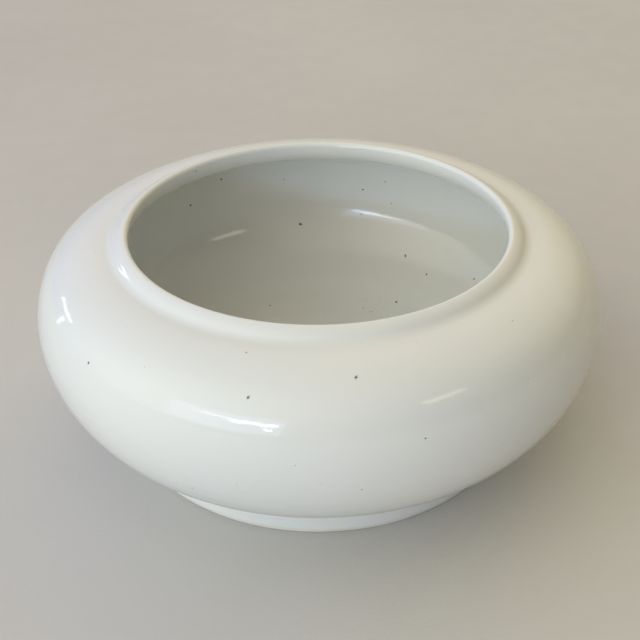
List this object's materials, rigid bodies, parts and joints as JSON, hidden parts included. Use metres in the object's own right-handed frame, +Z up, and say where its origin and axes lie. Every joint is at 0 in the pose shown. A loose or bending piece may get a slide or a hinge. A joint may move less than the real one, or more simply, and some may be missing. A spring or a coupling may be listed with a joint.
{
  "type": "brush washer pot",
  "caption": "Squat round glazed porcelain pot with a wide rolled mouth and a low foot ring, for rinsing or holding brushes.",
  "frame": {"origin": "centre of the circle that the foot ring stands on, at the table", "axes": "+Z up along the pot's axis of turning; X and Y are any two directions across it"},
  "size_m": [0.254, 0.254, 0.1015],
  "materials": {
    "bare_porcelain": "matte",
    "white_glaze": "gloss"
  },
  "bodies": {
    "root": {"foot_ring": "bare_porcelain", "lower_bowl": "bare_porcelain", "shoulder": "bare_porcelain", "lip": "bare_porcelain", "outer_glaze": "white_glaze", "inner_glaze": "white_glaze", "base_glaze": "white_glaze"}
  },
  "joints": []
}
